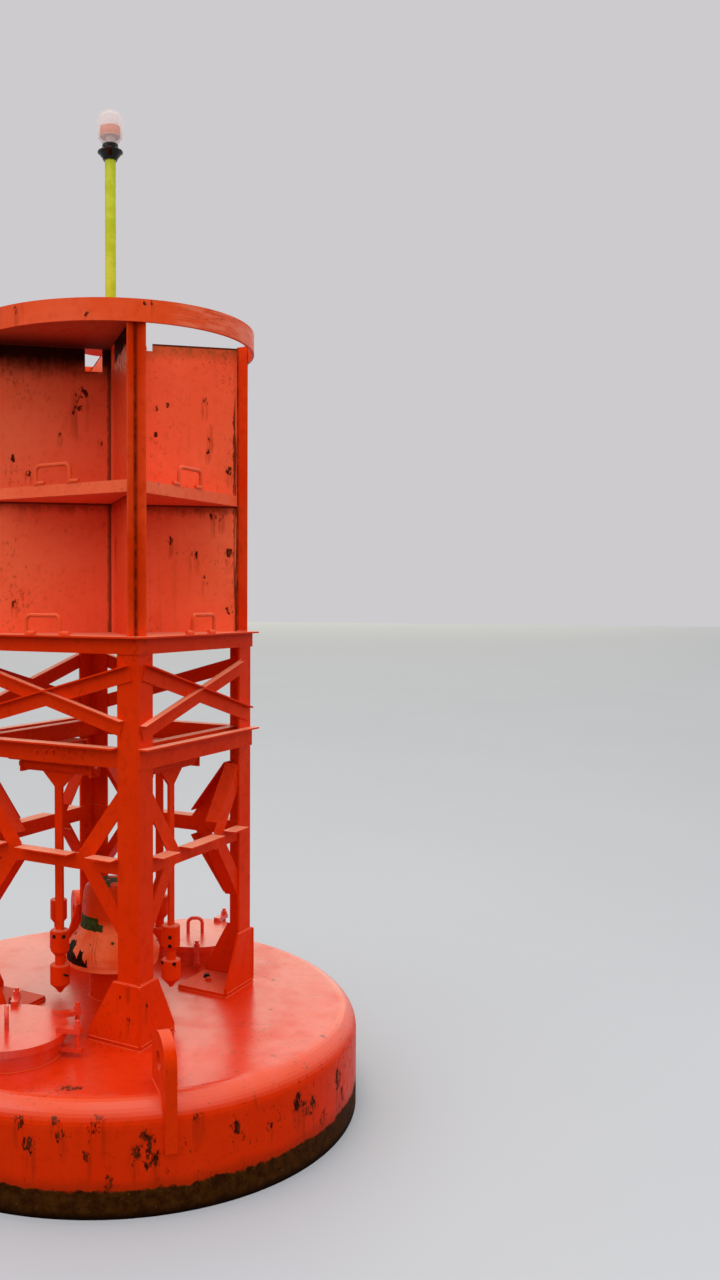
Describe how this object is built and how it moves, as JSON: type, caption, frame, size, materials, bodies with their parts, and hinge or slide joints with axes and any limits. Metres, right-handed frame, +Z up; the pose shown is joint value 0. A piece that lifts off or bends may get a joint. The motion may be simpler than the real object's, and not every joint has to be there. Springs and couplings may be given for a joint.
{
  "type": "lighted bell buoy",
  "caption": "Round steel navigation buoy, whole with its hull and counterweight, with a braced tower, swinging bell tappers, a radar reflector cage and a lantern on a thin mast.",
  "frame": {"origin": "on the buoy's axis at the waterline, the mount it is held by", "axes": "+Z up along the mast; the tower's faces look along +X, -X, +Y and -Y, and the battery pockets lie on -Y and +Y"},
  "size_m": [2.438, 2.438, 7.925],
  "materials": {
    "red_paint": "semi-gloss, weathered",
    "lime_paint": "matte",
    "dark_paint": "matte, fouled",
    "cast_weight": "rough",
    "bronze": "tarnished, partly painted",
    "black_plastic": "matte",
    "clear_plastic": "clear, glossy",
    "optic": "glossy"
  },
  "bodies": {
    "buoy": {"hull": "red_paint", "tail_tube": "dark_paint", "counterweight": "cast_weight", "mooring_lugs": "dark_paint", "lifting_lugs": "red_paint", "battery_pocket_s": "red_paint", "battery_pocket_n": "red_paint", "bell_pedestal": "red_paint", "bell": "bronze", "leg_se": "red_paint", "leg_ne": "red_paint", "leg_nw": "red_paint", "leg_sw": "red_paint", "leg_feet": "red_paint", "lower_bracing": "red_paint", "cross_bracing": "red_paint", "mid_girt": "red_paint", "top_girt": "red_paint", "cage_floor": "red_paint", "cage_legs": "red_paint", "reflector_long": "red_paint", "reflector_cross": "red_paint", "mid_shelves": "red_paint", "top_plate": "red_paint", "mast_hub": "red_paint", "ring": "red_paint", "rungs": "red_paint", "mast_socket": "red_paint", "mast": "lime_paint", "lantern_base": "black_plastic", "lantern_lens": "clear_plastic", "lantern_optic": "optic", "tapper_hangers": "red_paint"},
    "tapper_s": {"tapper_s": "red_paint", "hammer_s": "red_paint"},
    "tapper_e": {"tapper_e": "red_paint", "hammer_e": "red_paint"},
    "tapper_n": {"tapper_n": "red_paint", "hammer_n": "red_paint"},
    "tapper_w": {"tapper_w": "red_paint", "hammer_w": "red_paint"},
    "lid_s": {"pocket_lid_s": "red_paint", "lid_dogs_s": "red_paint"},
    "lid_n": {"pocket_lid_n": "red_paint", "lid_dogs_n": "red_paint"}
  },
  "joints": [
    {"name": "tapper_s_swing", "type": "hinge", "parent": "buoy", "child": "tapper_s", "pos_m": [-0.038, -0.375, 1.662], "axis": [1, 0, 0], "range_deg": [-5, 5]},
    {"name": "tapper_e_swing", "type": "hinge", "parent": "buoy", "child": "tapper_e", "pos_m": [0.375, -0.038, 1.662], "axis": [0, 1, 0], "range_deg": [-5, 5]},
    {"name": "tapper_n_swing", "type": "hinge", "parent": "buoy", "child": "tapper_n", "pos_m": [0.038, 0.375, 1.662], "axis": [-1, 0, 0], "range_deg": [-5, 5]},
    {"name": "tapper_w_swing", "type": "hinge", "parent": "buoy", "child": "tapper_w", "pos_m": [-0.375, 0.038, 1.662], "axis": [0, -1, 0], "range_deg": [-5, 5]},
    {"name": "lid_s_lift", "type": "slide", "parent": "buoy", "child": "lid_s", "axis": [0, 0, 1], "range_m": [0, 0.12]},
    {"name": "lid_n_lift", "type": "slide", "parent": "buoy", "child": "lid_n", "axis": [0, 0, 1], "range_m": [0, 0.12]}
  ]
}
